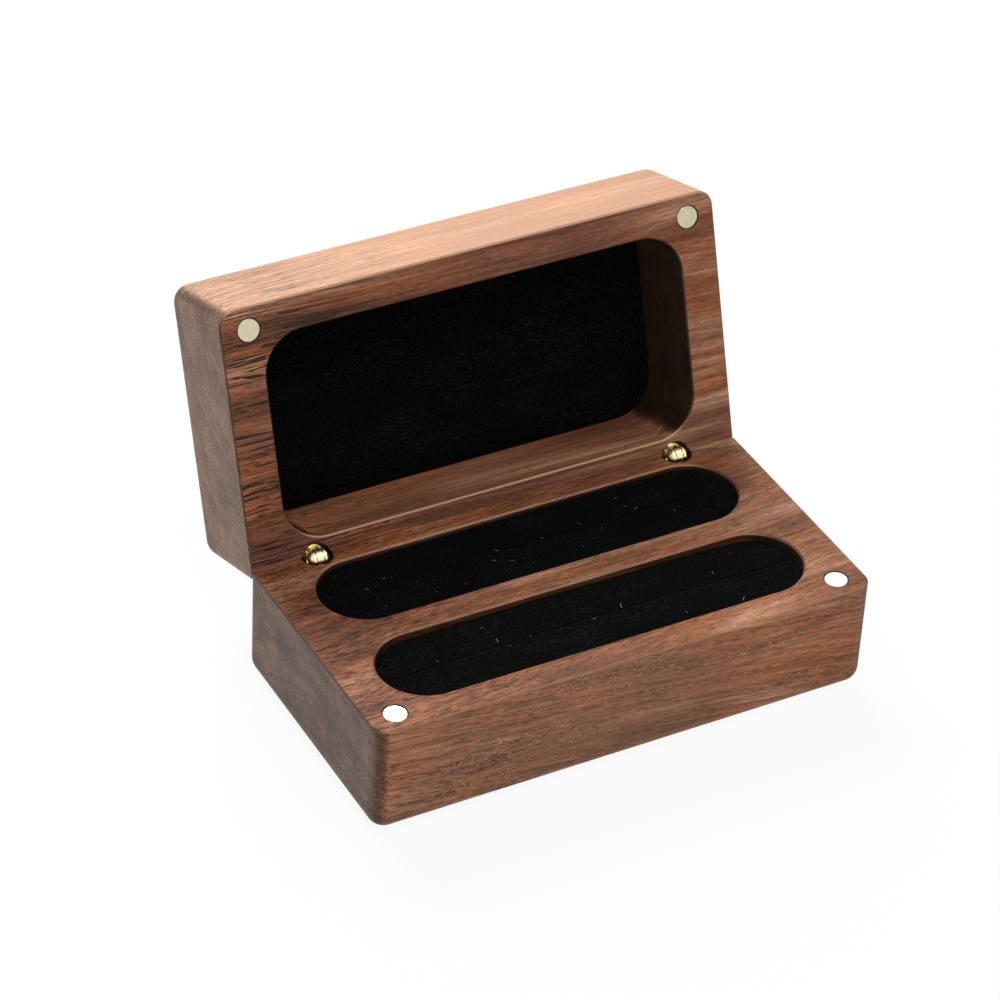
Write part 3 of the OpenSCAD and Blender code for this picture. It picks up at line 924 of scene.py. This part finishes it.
def fibre_tree(made):
    """Geometry nodes that lay short bent fibres at random on a surface."""
    tree = bpy.data.node_groups.new("Loose fibres", "GeometryNodeTree")
    face = tree.interface
    face.new_socket("Surface", in_out="INPUT", socket_type="NodeSocketGeometry")
    for name, kind, value in (
        ("Count", "NodeSocketInt", 70),
        ("Length", "NodeSocketFloat", 1.6 * MM),
        ("Thickness", "NodeSocketFloat", 0.035 * MM),
        ("Seed", "NodeSocketInt", 4),
    ):
        face.new_socket(name, in_out="INPUT", socket_type=kind).default_value = value
    face.new_socket("Fibres", in_out="OUTPUT", socket_type="NodeSocketGeometry")
    add = Nodes(tree)
    given = add.add("NodeGroupInput")
    result = add.add("NodeGroupOutput")
    area = add.add(
        "GeometryNodeAttributeStatistic",
        {0: given.outputs["Surface"], "Attribute": add.add("GeometryNodeInputMeshFaceArea")},
        data_type="FLOAT",
        domain="FACE",
    )
    density = add.math("DIVIDE", given.outputs["Count"], area.outputs["Sum"])
    points = add.add(
        "GeometryNodeDistributePointsOnFaces",
        {"Mesh": given.outputs["Surface"], "Density": density, "Seed": given.outputs["Seed"]},
    )
    # Any heading, a slight bend and tilt, and many more short fibres than long ones
    bend_share = 0.35
    tilt = 0.25
    shortest = 0.12
    skew = 2.2
    sides = 5
    bend = add.times(given.outputs["Length"], bend_share)
    half = add.times(given.outputs["Length"], 0.5)
    arc = add.add(
        "GeometryNodeCurveQuadraticBezier",
        {
            "Resolution": sides,
            "Start": add.combine(add.times(half, -1.0)),
            "Middle": add.combine(0.0, bend),
            "End": add.combine(half),
        },
    )
    profile = add.add(
        "GeometryNodeCurvePrimitiveCircle", {"Resolution": sides, "Radius": given.outputs["Thickness"]}
    )
    strand = add.add("GeometryNodeCurveToMesh", {"Curve": arc, "Profile Curve": profile, "Fill Caps": True})
    turns = {0: (-tilt, -tilt, 0), 1: (tilt, tilt, 2 * math.pi)}
    turn = add.add("FunctionNodeRandomValue", turns, data_type="FLOAT_VECTOR")
    size = add.add("FunctionNodeRandomValue", {2: shortest, 3: 1.0}, data_type="FLOAT")
    skewed = add.math("POWER", size.outputs[1], skew)
    laid = add.add(
        "GeometryNodeInstanceOnPoints",
        {
            "Points": points.outputs["Points"],
            "Instance": strand,
            "Rotation": turn.outputs[0],
            "Scale": add.combine(skewed, skewed, 1.0),
        },
    )
    real = add.add("GeometryNodeRealizeInstances", {"Geometry": laid})
    add.link(add.add("GeometryNodeSetMaterial", {"Geometry": real, "Material": made}), result.inputs[0])
    return tree


def fibre_material(settings):
    made, add, shader = material("loose_fibre", {"Roughness": 0.7})
    cloud = add.noise(object_place(add), (0.8, 0.8, 0.8))
    tone = add.mix(add.smooth(cloud, 0.3, 0.7, 0.0, 0.6), settings.fibre, (0.25, 0.25, 0.26))
    add.link(tone, shader.inputs["Base Color"])
    return made


class DISPLAYBOX_OT_fibres(bpy.types.Operator):
    """Scatter a few pale loose fibres on the velvet pads"""

    bl_idname = "display_box.fibres"
    bl_label = "Loose fibres"

    def execute(self, context):
        settings = context.scene.display_box.velvet
        vertices = []
        faces = []
        # The fibres keep clear of the pads' round ends and long sides, and lie a little under the crown
        clear_x = 7.5 * MM
        clear_y = 1.5 * MM
        cuts = 24
        crown_share = 0.35
        for pad in PADS:
            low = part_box(f"{pad}_velvet_front")[0]
            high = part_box(f"{pad}_velvet_rear")[1]
            start = len(vertices)
            for x in steps(low.x + clear_x, high.x - clear_x, cuts):
                level = high.z - crown_share * settings.crown
                level += pad_rise(x, low, high, bulge(settings, pad))
                vertices += [(x, low.y + clear_y, level), (x, high.y - clear_y, level)]
            faces += [(k, k + 2, k + 3, k + 1) for k in range(start, len(vertices) - 2, 2)]
        surface = bpy.data.meshes.new("fibre_surface")
        surface.from_pydata(vertices, [], faces)
        base = add_object("fibre_surface", surface)
        modifier = base.modifiers.new("Loose fibres", "NODES")
        modifier.node_group = fibre_tree(fibre_material(settings))
        inputs = {item.name: item.identifier for item in modifier.node_group.interface.items_tree}
        modifier[inputs["Count"]] = settings.fibre_count
        modifier[inputs["Length"]] = settings.fibre_length
        context.view_layer.update()
        evaluated = base.evaluated_get(context.evaluated_depsgraph_get())
        plain = bpy.data.meshes.new_from_object(evaluated)
        plain.shade_smooth()
        piece = add_object("loose_fibres", plain)
        bpy.data.objects.remove(base)
        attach(piece, "base")
        return {"FINISHED"}


def metal_group():
    """Handled metal: fine scratches and cloudy dulling."""
    group, add, given, result = shader_group(
        "Handled metal",
        {"Vector": ("Place",), "Color": ("Bright", "Dull"), "Float": ("Scratch length",)},
        {"Color": ("Color",), "Float": ("Roughness", "Height")},
    )
    place = given["Place"]
    cloud = add.noise(place, (1.1, 1.1, 1.1), detail=3.0)
    scratch = add.noise(place, (given["Scratch length"], 0.06, 0.06))
    tone = add.mix(add.smooth(cloud, 0.35, 0.7, 0.0, 0.8), given["Bright"], given["Dull"])
    rough = add.plus(add.smooth(cloud, 0.3, 0.7, 0.16, 0.3), add.smooth(scratch, 0.4, 0.7, 0.0, 0.1))
    add.feed(result, {"Color": tone, "Roughness": rough, "Height": scratch})
    return group


def metal_material(name, bright, dull, group, scratch_length, rim=None, axis=(0, 0, 1)):
    """Metal of a piece; a disc's bevels, which face off its axis, get the painted rim highlight colour."""
    made, add, shader = material(name, {"Metallic": 1.0})
    sockets = {"Place": object_place(add), "Bright": bright, "Dull": dull, "Scratch length": scratch_length}
    metal = add.add("ShaderNodeGroup", sockets, node_tree=group)
    tone = metal.outputs["Color"]
    if rim:
        # Painted highlight on the bevels
        facing = add.facing(add.add("ShaderNodeTexCoord").outputs["Normal"], axis)
        tone = add.mix(add.smooth(facing, 0.8, 0.95, 1.0, 0.0), tone, rim)
    add.feed(shader, {"Base Color": tone, "Roughness": metal.outputs["Roughness"]})
    add.bump(shader, metal.outputs["Height"], strength=0.15, distance=0.01 * MM)
    return made


class DISPLAYBOX_OT_metal(bpy.types.Operator):
    """Finish the nickel magnets and the brass hinges"""

    bl_idname = "display_box.metal"
    bl_label = "Magnets and hinges"

    def execute(self, context):
        settings = context.scene.display_box.metal
        group = metal_group()
        hinge_scratch = 0.4
        disc_scratch = 2.0
        rim = settings.nickel_rim_highlight
        lid_axis = OPENED @ Vector((0, 0, -1))
        dress(HINGE_NODES, metal_material("brass", settings.brass, settings.tarnish, group, hinge_scratch))
        # The base's and the lid's magnets share one plating, painted lit and shaded
        made = metal_material("nickel_base_lit", settings.nickel, settings.nickel_dull, group, disc_scratch, rim)
        dress(BASE_MAGNETS, made)
        plating = (settings.shaded_lid_nickel, settings.shaded_lid_nickel_dull)
        dress(LID_MAGNETS, metal_material("nickel_lid_shaded", *plating, group, disc_scratch, rim, lid_axis))
        return {"FINISHED"}


def lamp(target, name, direction, distance, side, power):
    """Square area lamp that looks at target from a direction."""
    data = bpy.data.lights.new(name, "AREA")
    data.shape = "SQUARE"
    data.size = side
    data.energy = power
    lit = add_object(name, data)
    away = Vector(direction).normalized()
    lit.location = target + away * distance
    lit.rotation_euler = away.to_track_quat("Z", "Y").to_euler()


def white_for_views(add):
    """1 for a ray from the camera, or one that a glossy or clear surface sends on."""
    path = add.add("ShaderNodeLightPath")
    seen = add.larger(path.outputs["Is Camera Ray"], path.outputs["Is Glossy Ray"])
    return add.larger(seen, path.outputs["Is Transmission Ray"])


def make_world(settings):
    world = bpy.data.worlds.new("studio")
    bpy.context.scene.world = world
    world.use_nodes = True
    add = Nodes(world.node_tree)
    background = world.node_tree.nodes["Background"]
    strength = add.smooth(white_for_views(add), 0.0, 1.0, settings.sky, 1.0)
    add.feed(background, {"Color": (1.0, 1.0, 1.0), "Strength": strength})


def make_floor(settings):
    """Wide pale floor. It glows white for the camera, so that only the box's shadow shows."""
    side = 6.0
    floor_mesh = bpy.data.meshes.new("floor")
    corners = [(-side, -side, 0), (side, -side, 0), (side, side, 0), (-side, side, 0)]
    floor_mesh.from_pydata(corners, [], [(0, 1, 2, 3)])
    floor = add_object("floor", floor_mesh)
    made, add, shader = material("floor", {})
    made.node_tree.nodes.remove(shader)
    matt = add.add("ShaderNodeBsdfDiffuse", {"Color": settings.floor})
    glow = add.add("ShaderNodeEmission", {"Color": (1.0, 1.0, 1.0), "Strength": 1.0})
    glow_share = add.times(white_for_views(add), settings.floor_glow)
    blend = add.add("ShaderNodeMixShader", {0: glow_share, 1: matt, 2: glow})
    add.link(blend, made.node_tree.nodes["Material Output"].inputs["Surface"])
    floor_mesh.materials.append(made)


def make_camera(settings):
    """Camera at the photograph's place: it circles its aim, and rolls a little."""
    azimuth = settings.camera_azimuth
    elevation = settings.camera_elevation
    back = Vector((
        math.sin(azimuth) * math.cos(elevation),
        -math.cos(azimuth) * math.cos(elevation),
        math.sin(elevation),
    ))
    right = Vector((0, 0, 1)).cross(back).normalized()
    up = back.cross(right)
    axes = Matrix((right, up, back)).transposed() @ Matrix.Rotation(settings.camera_roll, 3, "Z")
    data = bpy.data.cameras.new("camera")
    data.lens = settings.camera_lens
    data.sensor_width = 36
    data.clip_start = 0.01
    data.clip_end = 50
    camera = add_object("camera", data)
    camera.location = Vector(settings.camera_aim) + back * settings.camera_distance
    camera.rotation_euler = axes.to_euler()
    bpy.context.scene.camera = camera


class DISPLAYBOX_OT_stage(bpy.types.Operator):
    """Set the floor, the soft lamps and the camera"""

    bl_idname = "display_box.stage"
    bl_label = "Stage"

    def execute(self, context):
        settings = context.scene.display_box.stage
        context.scene.view_settings.view_transform = "Standard"
        make_camera(settings)
        make_world(settings)
        make_floor(settings)
        centre = (CAD_BOX[0] + CAD_BOX[1]) / 2
        for values in LAMPS:
            lamp(centre, **values)
        return {"FINISHED"}


class DISPLAYBOX_PT_panel(bpy.types.Panel):
    """Steps that dress the display box, in order"""

    bl_idname = "DISPLAYBOX_PT_panel"
    bl_label = "Display Box"
    bl_space_type = "VIEW_3D"
    bl_region_type = "UI"
    bl_category = "Display Box"

    def draw(self, context):
        for step in STEPS:
            self.layout.operator(step.bl_idname)


STEPS = (
    DISPLAYBOX_OT_stage,
    DISPLAYBOX_OT_wood,
    DISPLAYBOX_OT_pads,
    DISPLAYBOX_OT_lining,
    DISPLAYBOX_OT_fibres,
    DISPLAYBOX_OT_metal,
)
SETTINGS = (WoodSettings, VelvetSettings, MetalSettings, StageSettings, BoxSettings)


def register():
    for kind in SETTINGS + STEPS + (DISPLAYBOX_PT_panel,):
        bpy.utils.register_class(kind)
    bpy.types.Scene.display_box = PointerProperty(type=BoxSettings)


def unregister():
    del bpy.types.Scene.display_box
    for kind in reversed(SETTINGS + STEPS + (DISPLAYBOX_PT_panel,)):
        bpy.utils.unregister_class(kind)


def main():
    register()
    bpy.ops.display_box.stage()
    bpy.ops.display_box.wood()
    bpy.ops.display_box.pads()
    bpy.ops.display_box.lining()
    bpy.ops.display_box.fibres()
    bpy.ops.display_box.metal()


if __name__ == "__main__":
    main()
